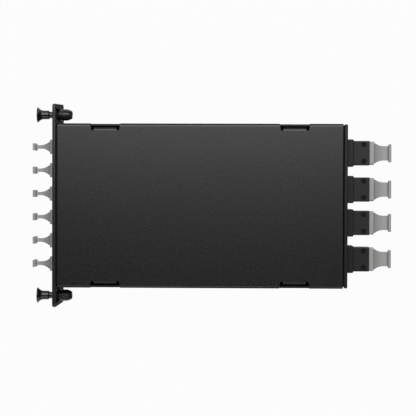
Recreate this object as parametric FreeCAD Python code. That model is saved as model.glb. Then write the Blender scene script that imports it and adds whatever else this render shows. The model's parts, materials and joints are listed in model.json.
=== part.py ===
import FreeCAD, Part
import math
import os

Vector = FreeCAD.Vector

# A fibre conversion cassette: four 12-fibre array ports at the rear feed six 8-fibre array
# ports at the front. All sizes are in millimetres. The pieces are built in the cassette's own
# working frame: x = 0 is the front panel's front face and +X runs to the rear, y = 0 is the
# middle of the housing, z = 0 is the front panel's lower edge and +Z is up, through the cover.

# Driving dimensions -----------------------------------------------------------------------

# Front panel
ear_width = 10.35
panel_height = 35.0
panel_thickness = 1.8
panel_corner_radius = 2.0
panel_front_edge_radius = 0.7
panel_back_edge_radius = 0.3
key_rib_height = 1.3
key_rib_base = 0.5
key_rib_length = 3.0
key_rib_taper = 29.0
panel_rib_thickness = 1.0
panel_rib_depth = 3.0
lug_length = 8.0
lug_width = 8.0
relief_groove_depth = 1.0
relief_groove_width = 5.8
relief_groove_end = 1.2

# Housing
housing_width = 88.2
housing_height = 29.0
sheet_thickness = 1.0
tray_bend_radius = 2.0
cover_length = 153.4
cover_bend_radius = 1.6
cover_skirt = 3.4
cover_overhang = 0.3
cover_edge_radius = 0.4
corner_relief = 2.5
rear_panel_inset = 0.25
rear_panel_thickness = 1.8
rear_panel_edge_radius = 0.4
rear_panel_side_radius = 0.8
rear_foot_length = 10.0
rear_foot_inset = 5.6
rear_bend_radius = 2.4

# Snap tabs along the cover's sides
tab_end_inset = 26.0
notch_length = 15.9
notch_depth = 2.0
tab_width = 12.1
tab_bend_radius = 1.8
tab_drop = 11.0
tab_relief_radius = 0.8
snap_bump_radius = 1.5
snap_bump_drop = 8.0
snap_catch = 0.6
tongue_rise = 2.6

# Array adapters and where they stand
front_port_count = 6
front_port_pitch = 12.7
rear_port_count = 4
rear_inner_pitch = 18.1
rear_outer_pitch = 19.7
adapter_length = 27.0
adapter_wide = 13.2
adapter_narrow = 9.4
adapter_corner_radius = 0.6
collar_margin = 0.8
collar_length = 4.0
collar_chamfer = 0.5
front_adapter_proud = 0.2
rear_nose_length = 8.5
port_wide = 11.4
port_narrow = 6.9
port_corner_radius = 0.7
port_depth = 12.0
web_thickness = 2.4
keyway_width = 2.8
keyway_depth = 0.6
ferrule_wide = 6.4
ferrule_narrow = 2.5
dimple_radius = 1.4
dimple_depth = 0.7
dimple_from_mouth = 3.1
dimple_spread = 9.0

# Dust caps
cap_plug_length = 5.0
cap_wall = 0.9
cap_rim_wide = 12.6
cap_rim_narrow = 7.7
cap_rim_length = 2.45
cap_rim_radius = 0.8
cap_flare_length = 5.6
cap_flare_wide = 12.1
cap_flare_narrow = 6.4
cap_neck_wide = 7.8
cap_neck_narrow = 1.75
cap_neck_length = 2.9
cap_end_wide = 9.8
cap_end_narrow = 3.85
cap_end_length = 1.15
cap_end_slope_wide = 0.6
cap_end_slope_narrow = 0.45
cap_end_radius = 0.4

# Push-pull latches in the ears
latch_from_end = 5.2
grommet_flange_radius = 4.4
grommet_flange_thickness = 1.1
grommet_neck_radius = 2.6
grommet_barrel_radius = 3.1
grommet_barrel_length = 6.8
grommet_tip_length = 2.7
grommet_tip_radius = 1.95
grommet_tip_fullness = 0.64
grommet_slot_width = 0.65
grommet_slot_angle = 27.0
grommet_root_length = 1.0
grommet_groove_length = 0.6
grommet_groove_radius = 2.7
grommet_lip_thickness = 0.9
grommet_lip_radius = 1.5
plunger_reach = 10.6
plunger_head_radius = 4.1
plunger_dome_height = 0.3
plunger_head_edge = 0.5
plunger_flare_length = 3.1
plunger_grip_radius = 2.4
plunger_neck_radius = 1.75
plunger_taper_length = 0.6
plunger_travel = 2.3
plunger_ring_radius = 2.2
plunger_ring_length = 1.2
plunger_tip_length = 1.0
plunger_tip_radius = 1.2

# Plugs, fibre bundles and the comb that holds them
plug_tip_gap = 1.6
plug_housing_wide = 12.4
plug_housing_narrow = 7.8
plug_housing_length = 9.0
plug_groove_count = 3
plug_groove_pitch = 2.0
plug_groove_depth = 0.4
boot_length = 12.0
boot_root_wide = 9.6
boot_root_narrow = 6.4
boot_end_wide = 5.6
boot_end_narrow = 3.6
boot_corner_radius = 1.2
fibres_per_front_port = 8
fibres_per_rear_port = 12
bundle_diameter_of_twelve = 2.2
bundle_spread = 3.6
bundle_lead = 6.0
holder_from_boot = 9.0
holder_thickness = 4.0
holder_rise = 2.4
holder_foot_length = 12.0
holder_foot_height = 1.6
holder_side_gap = 4.55
holder_gusset_count = 4

# Retainer, clips and screws
retainer_thickness = 1.6
retainer_cover_gap = 1.2
clip_thickness = 0.4
clip_length = 7.0
clip_tab_width = 3.6
clip_tab_length = 4.6
clip_tab_angle = 14.0
screw_head_radius = 2.2
screw_shank_radius = 1.05
screw_reach = 3.6
screw_row_spacing = 25.4
holder_screw_inset = 6.0
screw_recess_width = 0.5
screw_recess_depth = 0.45

# Clearances
slip = 0.1
seat = 0.05
panel_to_cover_gap = 0.3
cover_to_rear_gap = 0.5
adapter_cutout_clearance = 0.15
beyond = 1.0

# Places that follow from the sizes above ----------------------------------------------------

panel_width = housing_width + 2 * ear_width
axis_z = panel_height / 2
base_z = axis_z - housing_height / 2
top_z = axis_z + housing_height / 2
floor_z = base_z + sheet_thickness
ceiling_z = top_z - sheet_thickness

cover_front_x = panel_thickness + panel_to_cover_gap
cover_back_x = cover_front_x + cover_length
rear_inner_x = cover_back_x + cover_to_rear_gap
rear_outer_x = rear_inner_x + rear_panel_thickness
front_mouth_x = -front_adapter_proud
rear_mouth_x = rear_outer_x + collar_length + rear_nose_length

cover_half = housing_width / 2
wall_outer_half = cover_half - cover_overhang
wall_inner_half = wall_outer_half - sheet_thickness
wall_top_z = top_z - cover_skirt
rear_panel_half = cover_half - rear_panel_inset
rear_foot_half = rear_panel_half - rear_foot_inset
holder_half = wall_inner_half - holder_side_gap

collar_wide = adapter_wide + 2 * collar_margin
collar_narrow = adapter_narrow + 2 * collar_margin
lug_top_z = axis_z - collar_wide / 2 - slip
boss_foot_z = axis_z + collar_wide / 2 + slip
retainer_top_z = ceiling_z - retainer_cover_gap
retainer_boss_radius = (retainer_top_z - boss_foot_z) / 2
boss_z = boss_foot_z + retainer_boss_radius
retainer_front_x = panel_thickness + collar_length
cap_grip_length = cap_rim_length + cap_flare_length + cap_neck_length + cap_end_length

front_port_ys = [front_port_pitch * ((front_port_count - 1) / 2 - i) for i in range(front_port_count)]
tab_xs = [cover_front_x + tab_end_inset, cover_back_x - tab_end_inset]
screw_row_ys = [-screw_row_spacing, 0.0, screw_row_spacing]
lug_screw_x = panel_thickness + lug_length / 2
foot_screw_x = rear_inner_x - rear_foot_length * 0.55

plug_nose_length = adapter_length - port_depth - web_thickness - plug_tip_gap
plug_tail_length = seat + plug_housing_length + boot_length
front_boot_end_x = front_mouth_x + adapter_length + plug_tail_length
rear_boot_end_x = rear_mouth_x - adapter_length - plug_tail_length
holder_x = front_boot_end_x + holder_from_boot
holder_screw_ys = [holder_screw_inset - holder_half, holder_half - holder_screw_inset]

latch_y = panel_width / 2 - latch_from_end
barrel_x = panel_thickness + slip
barrel_end_x = barrel_x + grommet_barrel_length
chamber_x = barrel_x + grommet_root_length
legs_x = chamber_x + grommet_groove_length
flange_x = -seat - grommet_flange_thickness


def rear_port_positions():
    """Middles of the rear ports, from the left ear's side: they stand in pairs."""
    gaps = [rear_inner_pitch if i % 2 else rear_outer_pitch for i in range(rear_port_count - 1)]
    return [sum(gaps) / 2 - sum(gaps[:i]) for i in range(rear_port_count)]


rear_port_ys = rear_port_positions()


# Building blocks ----------------------------------------------------------------------------

def block(x_start, x_end, y_start, y_end, z_start, z_end):
    """A plain block between two corners."""
    return Part.makeBox(x_end - x_start, y_end - y_start, z_end - z_start, Vector(x_start, y_start, z_start))


def bar(x_start, x_end, width, height, radius, y=0.0, z=0.0):
    """A bar along X, centred on (y, z), whose long edges are rounded."""
    body = block(x_start, x_end, y - width / 2, y + width / 2, z - height / 2, z + height / 2)
    return body.makeFillet(radius, edges_where(body, lambda point: 0, "x"))


def rod_x(x_start, x_end, radius, y=0.0, z=0.0):
    """A round rod along X."""
    return Part.makeCylinder(radius, x_end - x_start, Vector(x_start, y, z), Vector(1, 0, 0))


def rod_z(z_start, z_end, radius, x, y):
    """A round rod along Z."""
    return Part.makeCylinder(radius, z_end - z_start, Vector(x, y, z_start), Vector(0, 0, 1))


def edges_where(shape, distance, axis=""):
    """The edges whose ends all lie at no distance, and that run along an axis where one is named."""
    found = [edge for edge in shape.Edges if all(distance(vertex.Point) < 1e-6 for vertex in edge.Vertexes)]
    if axis:
        found = [edge for edge in found if abs(getattr(edge.tangentAt(edge.FirstParameter), axis)) > 0.99]
    return found


def edges_at_x(shape, x):
    """The edges of a shape that lie in the plane at x."""
    return edges_where(shape, lambda point: abs(point.x - x))


def edges_along_x_at(shape, y, z):
    """The straight edges along X that pass through (y, z)."""
    return edges_where(shape, lambda point: max(abs(point.y - y), abs(point.z - z)))


def channel(x_start, x_end, half_width, web_z, free_z, thickness, bend_radius):
    """Sheet folded along X: a web at web_z with two sides that stand towards free_z."""
    side = 1 if free_z > web_z else -1

    def rounded(start, end, half, web, free, radius):
        body = block(start, end, -half, half, min(web, free), max(web, free))
        corners = edges_along_x_at(body, half, web) + edges_along_x_at(body, -half, web)
        return body.makeFillet(radius, corners)

    outer = rounded(x_start, x_end, half_width, web_z, free_z, bend_radius)
    inner = rounded(
        x_start - beyond, x_end + beyond, half_width - thickness,
        web_z + side * thickness, free_z + side * beyond, bend_radius - thickness,
    )
    return outer.cut(inner)


def angle_strip(length, flat_leg, down_leg, thickness, bend_radius):
    """A strip along X, bent down at its +Y side; its outer corner would be at y = 0, z = 0."""
    outer = block(0, length, -flat_leg, 0, -down_leg, 0)
    outer = outer.makeFillet(bend_radius, edges_along_x_at(outer, 0, 0))
    inner = block(-beyond, length + beyond, -flat_leg - beyond, -thickness, -down_leg - beyond, -thickness)
    inner = inner.makeFillet(bend_radius - thickness, edges_along_x_at(inner, -thickness, -thickness))
    return outer.cut(inner)


def flare_middle(x_wide, x_slim, wide, slim):
    """The middle point of an arc that sweeps in from wide and runs smoothly into slim."""
    length = x_slim - x_wide
    drop = wide - slim
    radius = (length ** 2 + drop ** 2) / (2 * drop)
    return (x_wide + x_slim) / 2, slim + radius - math.sqrt(radius ** 2 - (length / 2) ** 2)


def line(start, end):
    """A straight edge between two (x, height) points."""
    return Part.LineSegment(Vector(start[0], 0, start[1]), Vector(end[0], 0, end[1])).toShape()


def arc(start, middle, end):
    """An arc through three (x, height) points."""
    points = [Vector(point[0], 0, point[1]) for point in (start, middle, end)]
    return Part.Arc(*points).toShape()


def turned(edges, y, z):
    """The solid turned about an X axis through (y, z) from an open outline and the axis."""
    first = edges[0].Vertexes[0].Point
    last = edges[-1].Vertexes[-1].Point
    closing = Part.LineSegment(last, first).toShape()
    face = Part.Face(Part.Wire(edges + [closing]))
    solid = face.revolve(Vector(0, 0, 0), Vector(1, 0, 0), 360)
    solid.translate(Vector(0, y, z))
    return solid


def joined(shapes):
    """One solid from several that touch or overlap."""
    return shapes[0].multiFuse(shapes[1:]).removeSplitter()


# Front panel and rear panel -----------------------------------------------------------------

def key_rib():
    """The rib on the +Y end that lets the cassette in one way up only."""
    foot_y = panel_width / 2 - panel_corner_radius
    crest_y = panel_width / 2 + key_rib_height
    outline = [
        Vector(0, foot_y, key_rib_base),
        Vector(0, panel_width / 2, key_rib_base),
        Vector(0, crest_y, key_rib_base + key_rib_height),
        Vector(0, crest_y, key_rib_base + key_rib_length),
        Vector(0, panel_width / 2, key_rib_base + key_rib_length + key_rib_taper),
        Vector(0, foot_y, key_rib_base + key_rib_length + key_rib_taper),
    ]
    face = Part.Face(Part.makePolygon(outline + outline[:1]))
    return face.extrude(Vector(panel_thickness, 0, 0))


def panel_locating_rib():
    """The rib frame behind the panel that stands just inside the tray and the cover."""
    outer_width = 2 * (wall_inner_half - slip)
    height = housing_height - 2 * sheet_thickness - 2 * slip
    end_x = panel_thickness + panel_rib_depth
    outer = bar(panel_thickness - seat, end_x, outer_width, height, tray_bend_radius, z=axis_z)
    inner = bar(
        panel_thickness - beyond, end_x + beyond, outer_width - 2 * panel_rib_thickness,
        height - 2 * panel_rib_thickness, tray_bend_radius - panel_rib_thickness / 2, z=axis_z,
    )
    return outer.cut(inner)


def panel_lugs():
    """The lugs behind the panel's foot that take the front screws from below."""
    return [
        block(panel_thickness - seat, panel_thickness + lug_length, y - lug_width / 2, y + lug_width / 2,
              floor_z, lug_top_z)
        for y in screw_row_ys
    ]


def retainer_bosses():
    """The round bosses behind the panel that carry the retainer."""
    return [
        rod_x(panel_thickness - seat, retainer_front_x, retainer_boss_radius, y, boss_z)
        for y in screw_row_ys
    ]


def latch_openings(y):
    """What a latch takes out of the panel: its hole, and a relief groove up the back."""
    hole = rod_x(-beyond, panel_thickness + beyond, grommet_neck_radius + slip, y, axis_z)
    groove = block(
        panel_thickness - relief_groove_depth, panel_thickness + beyond,
        y - relief_groove_width / 2, y + relief_groove_width / 2,
        axis_z, panel_height - relief_groove_end,
    )
    return [hole, groove]


def front_panel():
    """The moulded front panel with its ears, cut-outs, latch holes, lugs and ribs."""
    plate = bar(0, panel_thickness, panel_width, panel_height, panel_corner_radius, z=axis_z)
    plate = joined([plate, key_rib()])
    plate = plate.makeFillet(panel_front_edge_radius, edges_at_x(plate, 0))
    plate = plate.makeFillet(panel_back_edge_radius, edges_at_x(plate, panel_thickness))
    body = joined([plate, panel_locating_rib()] + panel_lugs() + retainer_bosses())
    openings = [
        bar(-beyond, panel_thickness + beyond, adapter_narrow + 2 * adapter_cutout_clearance,
            adapter_wide + 2 * adapter_cutout_clearance, adapter_corner_radius, y, axis_z)
        for y in front_port_ys
    ]
    openings += latch_openings(-latch_y) + latch_openings(latch_y)
    for y in screw_row_ys:
        openings.append(rod_z(base_z, floor_z + screw_reach + slip, screw_shank_radius + seat, lug_screw_x, y))
        openings.append(
            rod_x(retainer_front_x - screw_reach - slip, retainer_front_x + beyond,
                  screw_shank_radius + seat, y, boss_z)
        )
    return body.cut(openings)


def rear_panel():
    """The rear plate, bent forward at its foot and cut out for the rear adapters."""
    plate_z = floor_z + rear_bend_radius
    foot = angle_strip(
        2 * rear_foot_half, rear_foot_length, rear_bend_radius + beyond, rear_panel_thickness, rear_bend_radius
    )
    foot.rotate(Vector(0, 0, 0), Vector(1, 0, 0), 180)
    foot.rotate(Vector(0, 0, 0), Vector(0, 0, 1), 90)
    foot.translate(Vector(rear_outer_x, -rear_foot_half, floor_z))
    slit_half = rear_foot_half + beyond
    plate = joined([
        block(rear_inner_x, rear_outer_x, -rear_panel_half, rear_panel_half, plate_z, top_z),
        block(rear_inner_x, rear_outer_x, -rear_panel_half, -slit_half, base_z, top_z),
        block(rear_inner_x, rear_outer_x, slit_half, rear_panel_half, base_z, top_z),
    ])
    uprights = edges_where(plate, lambda point: abs(abs(point.y) - rear_panel_half), "z")
    plate = plate.makeFillet(min(rear_panel_side_radius, rear_panel_thickness * 0.45), uprights)
    rim = edges_where(plate, lambda point: abs(point.z - top_z))
    plate = plate.makeFillet(min(rear_panel_edge_radius, rear_panel_thickness * 0.3), rim)
    openings = [
        bar(rear_inner_x - beyond, rear_outer_x + beyond, adapter_wide + 2 * adapter_cutout_clearance,
            adapter_narrow + 2 * adapter_cutout_clearance, adapter_corner_radius, y, axis_z)
        for y in rear_port_ys
    ]
    openings += [
        rod_z(floor_z - beyond, floor_z + rear_panel_thickness + beyond, screw_shank_radius + seat, foot_screw_x, y)
        for y in screw_row_ys
    ]
    return joined([plate, foot]).cut(openings)


# Tray and cover ------------------------------------------------------------------------------

def base_screw_places():
    """Where the countersunk screws go up through the tray's floor, as (x, y)."""
    lugs = [(lug_screw_x, y) for y in screw_row_ys]
    foot = [(foot_screw_x, y) for y in screw_row_ys]
    holder = [(holder_x, y) for y in holder_screw_ys]
    return lugs + foot + holder


def countersink(x, y):
    """The cone-shaped hole for one base screw."""
    return Part.makeCone(
        screw_head_radius + seat, screw_shank_radius + seat, sheet_thickness, Vector(x, y, base_z), Vector(0, 0, 1)
    )


def snap_window(x, side):
    """The round window in a side wall that a tab's bump snaps into."""
    start = Vector(x, side * (wall_inner_half - beyond), top_z - snap_bump_drop)
    return Part.makeCylinder(
        snap_bump_radius + slip, sheet_thickness + 2 * beyond, start, Vector(0, side, 0)
    )


def tongue(x, side):
    """The wall's tongue that stands up into one of the cover's notches."""
    half_length = notch_length / 2 - 2 * slip
    ys = sorted([side * wall_inner_half, side * wall_outer_half])
    return block(x - half_length, x + half_length, ys[0], ys[1], wall_top_z - beyond, wall_top_z + tongue_rise)


def base_tray():
    """The folded tray: a floor and two side walls with tongues and snap windows."""
    tray = channel(
        panel_thickness + seat, cover_back_x, wall_outer_half, base_z, wall_top_z, sheet_thickness, tray_bend_radius
    )
    tray = joined([tray] + [tongue(x, side) for x in tab_xs for side in (-1, 1)])
    holes = [snap_window(x, side) for x in tab_xs for side in (-1, 1)]
    holes += [countersink(x, y) for x, y in base_screw_places()]
    inset = wall_outer_half - tray_bend_radius - corner_relief / 2
    for side in (-1, 1):
        ys = sorted([side * inset, side * (wall_outer_half + beyond)])
        holes.append(
            block(cover_back_x - corner_relief, cover_back_x + beyond, ys[0], ys[1],
                  base_z - beyond, base_z + tray_bend_radius + corner_relief / 2)
        )
    return tray.cut(holes)


def tab_opening(x):
    """What one tab takes out of the cover's +Y edge: a notch, the tab's own strip and two reliefs."""
    notch_y = cover_half - notch_depth
    bend_y = notch_y - tab_bend_radius
    low_z = wall_top_z - beyond
    high_z = top_z + beyond
    notch = block(x - notch_length / 2, x + notch_length / 2, notch_y, cover_half + beyond, low_z, high_z)
    strip = block(x - tab_width / 2, x + tab_width / 2, bend_y, cover_half, low_z, high_z)
    shapes = [notch, strip]
    for side in (-1, 1):
        middle_x = x + side * (tab_width / 2 + tab_relief_radius)
        shapes.append(rod_z(low_z, high_z, tab_relief_radius, middle_x, bend_y + tab_relief_radius))
        shapes.append(
            block(middle_x - tab_relief_radius, middle_x + tab_relief_radius,
                  bend_y + tab_relief_radius, cover_half, low_z, high_z)
        )
    return joined(shapes)


def snap_tab(x):
    """One tab on the cover's +Y side: bent down inside the wall, with a bump for the window."""
    tab = angle_strip(tab_width, tab_bend_radius + beyond / 2, tab_drop, sheet_thickness, tab_bend_radius)
    face_y = cover_half - notch_depth
    tab.translate(Vector(x - tab_width / 2, face_y, top_z))
    reach = wall_inner_half - face_y + snap_catch
    bump = Part.makeCone(
        snap_bump_radius, snap_bump_radius / 2, reach + seat,
        Vector(x, face_y - seat, top_z - snap_bump_drop), Vector(0, 1, 0),
    )
    return joined([tab, bump])


def mirrored(shape):
    """The same shape on the -Y side."""
    return shape.mirror(Vector(0, 0, 0), Vector(0, 1, 0))


def cover():
    """The folded cover: a shallow pan with four notches and four bent-down snap tabs."""
    skirt_z = wall_top_z + seat
    pan = channel(cover_front_x, cover_back_x, cover_half, top_z, skirt_z, sheet_thickness, cover_bend_radius)
    for end_x in (cover_front_x, cover_back_x):
        rim = edges_where(
            pan, lambda point: abs(point.x - end_x) + min(abs(abs(point.y) - cover_half), abs(point.z - top_z))
        )
        pan = pan.makeFillet(cover_edge_radius, rim)
    openings = [tab_opening(x) for x in tab_xs]
    pan = pan.cut(openings + [mirrored(opening) for opening in openings])
    tabs = [snap_tab(x) for x in tab_xs]
    return joined([pan] + tabs + [mirrored(tab) for tab in tabs])


# Adapters and dust caps ------------------------------------------------------------------------
# Both are built lying flat, wide along Y, with the port's mouth in the plane x = 0. An adapter
# runs from there towards +X, and a cap's grip stands out the other way, which is +X as well
# before it is turned round.

def array_adapter(collar_x):
    """An adapter for array plugs, with its collar at the given distance from the mouth."""
    body = bar(0, adapter_length, adapter_wide, adapter_narrow, adapter_corner_radius)
    collar = bar(collar_x, collar_x + collar_length, collar_wide, collar_narrow, adapter_corner_radius)
    collar = collar.makeChamfer(collar_chamfer, edges_at_x(collar, collar_x))
    inner_x = port_depth + web_thickness
    openings = [
        bar(-beyond, port_depth, port_wide, port_narrow, port_corner_radius),
        bar(inner_x, adapter_length + beyond, port_wide, port_narrow, port_corner_radius),
        bar(port_depth - beyond, inner_x + beyond, ferrule_wide + 2 * slip, ferrule_narrow + 2 * slip, 2 * slip),
        block(-beyond, port_depth, -keyway_width / 2, keyway_width / 2, 0, port_narrow / 2 + keyway_depth),
    ]
    for side_y in (-1, 1):
        for side_z in (-1, 1):
            foot = Vector(dimple_from_mouth, side_y * dimple_spread / 2, side_z * (adapter_narrow / 2 - dimple_depth))
            openings.append(
                Part.makeCylinder(dimple_radius, dimple_depth + beyond, foot, Vector(0, 0, side_z))
            )
    return joined([body, collar]).cut(openings)


def grip_outline(rim, neck, end, end_slope):
    """The face of a cap's grip seen from one side: a concave flare, a neck and an end rim."""
    radius = cap_end_radius
    flare_x = cap_rim_length
    neck_x = flare_x + cap_flare_length
    rim_x = neck_x + cap_neck_length
    end_x = rim_x - end_slope
    tip_x = cap_grip_length
    middle = flare_middle(flare_x, neck_x, rim, neck)
    edges = [
        arc((flare_x, rim), middle, (neck_x, neck)),
        line((neck_x, neck), (end_x, neck)),
        line((end_x, neck), (rim_x, end)),
        line((rim_x, end), (tip_x - radius, end)),
        arc((tip_x - radius, end), (tip_x - radius * (1 - math.sqrt(0.5)), end - radius * (1 - math.sqrt(0.5))),
            (tip_x, end - radius)),
        line((tip_x, end - radius), (tip_x, -end + radius)),
        arc((tip_x, -end + radius), (tip_x - radius * (1 - math.sqrt(0.5)), -end + radius * (1 - math.sqrt(0.5))),
            (tip_x - radius, -end)),
        line((tip_x - radius, -end), (rim_x, -end)),
        line((rim_x, -end), (end_x, -neck)),
        line((end_x, -neck), (neck_x, -neck)),
        arc((neck_x, -neck), (middle[0], -middle[1]), (flare_x, -rim)),
        line((flare_x, -rim), (flare_x - seat, -rim)),
        line((flare_x - seat, -rim), (flare_x - seat, rim)),
        line((flare_x - seat, rim), (flare_x, rim)),
    ]
    return Part.Face(Part.Wire(edges))


def cap_grip():
    """The grip: its narrow outline run across the width, met by its wide outline run through the height."""
    narrow = grip_outline(cap_flare_narrow / 2, cap_neck_narrow / 2, cap_end_narrow / 2, cap_end_slope_narrow)
    wide = grip_outline(cap_flare_wide / 2, cap_neck_wide / 2, cap_end_wide / 2, cap_end_slope_wide)
    across = narrow.extrude(Vector(0, 2 * cap_rim_wide, 0))
    across.translate(Vector(0, -cap_rim_wide, 0))
    through = wide.extrude(Vector(0, 2 * cap_rim_wide, 0))
    through.translate(Vector(0, -cap_rim_wide, 0))
    through.rotate(Vector(0, 0, 0), Vector(1, 0, 0), 90)
    return across.common(through)


def dust_cap():
    """A dust cap: a cored plug with a key, a rim that meets the mouth, and a flared grip."""
    plug_wide = port_wide - 2 * slip
    plug_narrow = port_narrow - 2 * slip
    rim = bar(seat, cap_rim_length, cap_rim_wide, cap_rim_narrow, cap_rim_radius)
    plug = bar(-cap_plug_length, cap_rim_length / 2, plug_wide, plug_narrow, port_corner_radius)
    key_half = keyway_width / 2 - slip
    key = block(-cap_plug_length, cap_rim_length / 2, -key_half, key_half, 0, plug_narrow / 2 + keyway_depth)
    core = bar(
        -cap_plug_length - beyond, seat, plug_wide - 2 * cap_wall, plug_narrow - 2 * cap_wall,
        port_corner_radius / 2,
    )
    return joined([rim, plug, key, cap_grip()]).cut(core)


def at_front(shape, y):
    """A part of an adapter, turned upright and moved to a front port."""
    placed = shape.copy()
    placed.rotate(Vector(0, 0, 0), Vector(1, 0, 0), 90)
    placed.translate(Vector(front_mouth_x, y, axis_z))
    return placed


def at_rear(shape, y):
    """A part of an adapter, turned about and moved to a rear port."""
    placed = shape.copy()
    placed.rotate(Vector(0, 0, 0), Vector(0, 0, 1), 180)
    placed.translate(Vector(rear_mouth_x, y, axis_z))
    return placed


def turned_round(shape):
    """A cap's grip stands out of the mouth, against the way that its adapter runs."""
    flipped = shape.copy()
    flipped.rotate(Vector(0, 0, 0), Vector(0, 0, 1), 180)
    return flipped


# Latches -----------------------------------------------------------------------------------------

def latch_grommet(side):
    """The barrel that the plunger spreads: a plain root, a groove that its legs flex at, and four legs."""
    shoulder_x = barrel_end_x - grommet_tip_length
    tip_middle = (
        shoulder_x + grommet_tip_length / 2,
        grommet_tip_radius + (grommet_barrel_radius - grommet_tip_radius) * grommet_tip_fullness,
    )
    outline = [
        line((flange_x, 0), (flange_x, grommet_flange_radius - 3 * slip)),
        line((flange_x, grommet_flange_radius - 3 * slip), (flange_x + 3 * slip, grommet_flange_radius)),
        line((flange_x + 3 * slip, grommet_flange_radius), (-seat, grommet_flange_radius)),
        line((-seat, grommet_flange_radius), (-seat, grommet_neck_radius)),
        line((-seat, grommet_neck_radius), (barrel_x, grommet_neck_radius)),
        line((barrel_x, grommet_neck_radius), (barrel_x, grommet_barrel_radius)),
        line((barrel_x, grommet_barrel_radius), (chamber_x, grommet_barrel_radius)),
        line((chamber_x, grommet_barrel_radius), (chamber_x, grommet_groove_radius)),
        line((chamber_x, grommet_groove_radius), (legs_x, grommet_groove_radius)),
        line((legs_x, grommet_groove_radius), (legs_x, grommet_barrel_radius)),
        line((legs_x, grommet_barrel_radius), (shoulder_x, grommet_barrel_radius)),
        arc((shoulder_x, grommet_barrel_radius), tip_middle, (barrel_end_x, grommet_tip_radius)),
        line((barrel_end_x, grommet_tip_radius), (barrel_end_x, 0)),
    ]
    body = turned(outline, 0, 0)
    chamber_end_x = barrel_end_x - grommet_lip_thickness
    openings = [
        rod_x(flange_x - beyond, chamber_x + beyond, plunger_neck_radius + seat),
        rod_x(chamber_x, chamber_end_x, plunger_ring_radius + seat),
        rod_x(chamber_x, barrel_end_x + beyond, grommet_lip_radius),
    ]
    reach = 2 * grommet_barrel_radius
    for angle in (0, 90):
        slot = block(
            chamber_x, barrel_end_x + beyond, -grommet_slot_width / 2, grommet_slot_width / 2, -reach, reach
        )
        slot.rotate(Vector(0, 0, 0), Vector(1, 0, 0), angle - side * grommet_slot_angle)
        openings.append(slot)
    body = body.cut(openings)
    body.translate(Vector(0, side * latch_y, axis_z))
    return body


def latch_plunger(side):
    """The push-pull pin: a flared head, a grip, and a neck with a ring inside the grommet."""
    face_x = -plunger_reach
    edge_x = face_x + plunger_dome_height
    flare_x = edge_x + plunger_head_edge
    grip_x = flare_x + plunger_flare_length
    neck_x = flange_x - plunger_travel - slip
    taper_x = neck_x - plunger_taper_length
    ring_x = chamber_x + seat
    ring_end_x = ring_x + plunger_ring_length
    dome_middle = (face_x + plunger_dome_height / 4, plunger_head_radius / 2)
    flare = flare_middle(flare_x, grip_x, plunger_head_radius, plunger_grip_radius)
    outline = [
        arc((face_x, 0), dome_middle, (edge_x, plunger_head_radius)),
        line((edge_x, plunger_head_radius), (flare_x, plunger_head_radius)),
        arc((flare_x, plunger_head_radius), flare, (grip_x, plunger_grip_radius)),
        line((grip_x, plunger_grip_radius), (taper_x, plunger_grip_radius)),
        line((taper_x, plunger_grip_radius), (neck_x, plunger_neck_radius)),
        line((neck_x, plunger_neck_radius), (ring_x, plunger_neck_radius)),
        line((ring_x, plunger_neck_radius), (ring_x, plunger_ring_radius)),
        line((ring_x, plunger_ring_radius), (ring_end_x, plunger_ring_radius)),
        line((ring_end_x, plunger_ring_radius), (ring_end_x + plunger_tip_length, plunger_tip_radius)),
        line((ring_end_x + plunger_tip_length, plunger_tip_radius), (ring_end_x + plunger_tip_length, 0)),
    ]
    return turned(outline, side * latch_y, axis_z)


# Plugs, fibre bundles and their holder ------------------------------------------------------------

def rounded_wire(x, wide, narrow, radius):
    """A rounded rectangle in the plane at x, as a wire."""
    section = bar(x, x + beyond, wide, narrow, radius)
    return next(face for face in section.Faces if abs(face.CenterOfMass.x - x) < 1e-6).OuterWire


def array_plug():
    """The plug in an adapter's inner port: ferrule, nose, grooved housing and tapered boot."""
    nose_x = adapter_length - plug_nose_length
    housing_x = adapter_length + seat
    housing_end_x = housing_x + plug_housing_length
    boot_end_x = housing_end_x + boot_length
    web_middle_x = port_depth + web_thickness / 2
    ferrule = bar(web_middle_x, nose_x + beyond, ferrule_wide, ferrule_narrow, slip)
    nose = bar(nose_x, housing_x + beyond, port_wide - 2 * slip, port_narrow - 2 * slip, port_corner_radius)
    housing = bar(housing_x, housing_end_x, plug_housing_wide, plug_housing_narrow, port_corner_radius)
    boot = Part.makeLoft([
        rounded_wire(housing_end_x, boot_root_wide, boot_root_narrow, boot_corner_radius),
        rounded_wire(boot_end_x, boot_end_wide, boot_end_narrow, boot_corner_radius),
    ], True)
    grooves = []
    for i in range(plug_groove_count):
        groove_x = housing_x + plug_groove_pitch * (i + 1)
        for side in (-1, 1):
            middle_z = side * plug_housing_narrow / 2
            grooves.append(
                block(groove_x, groove_x + plug_groove_pitch / 2, -plug_housing_wide, plug_housing_wide,
                      middle_z - plug_groove_depth, middle_z + plug_groove_depth)
            )
    return joined([ferrule, nose, housing, boot]).cut(grooves)


def fibre_routes():
    """Each bundle as (front port, rear port, first fibre, last fibre + 1), counted in one order."""
    routes = []
    for front in range(front_port_count):
        for rear in range(rear_port_count):
            first = max(front * fibres_per_front_port, rear * fibres_per_rear_port)
            last = min((front + 1) * fibres_per_front_port, (rear + 1) * fibres_per_rear_port)
            if last > first:
                routes.append((front, rear, first, last))
    return routes


def bundle_y(port_y, port, per_port, first, last):
    """Where a bundle leaves its boot: to the side that its share of the port's fibres is on."""
    share = ((first + last) / 2 - (port + 0.5) * per_port) / per_port
    return port_y - share * bundle_spread


def bundle_radius(first, last):
    """A bundle's radius, so that its section grows with its count of fibres."""
    return bundle_diameter_of_twelve / 2 * math.sqrt((last - first) / 12)


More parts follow.
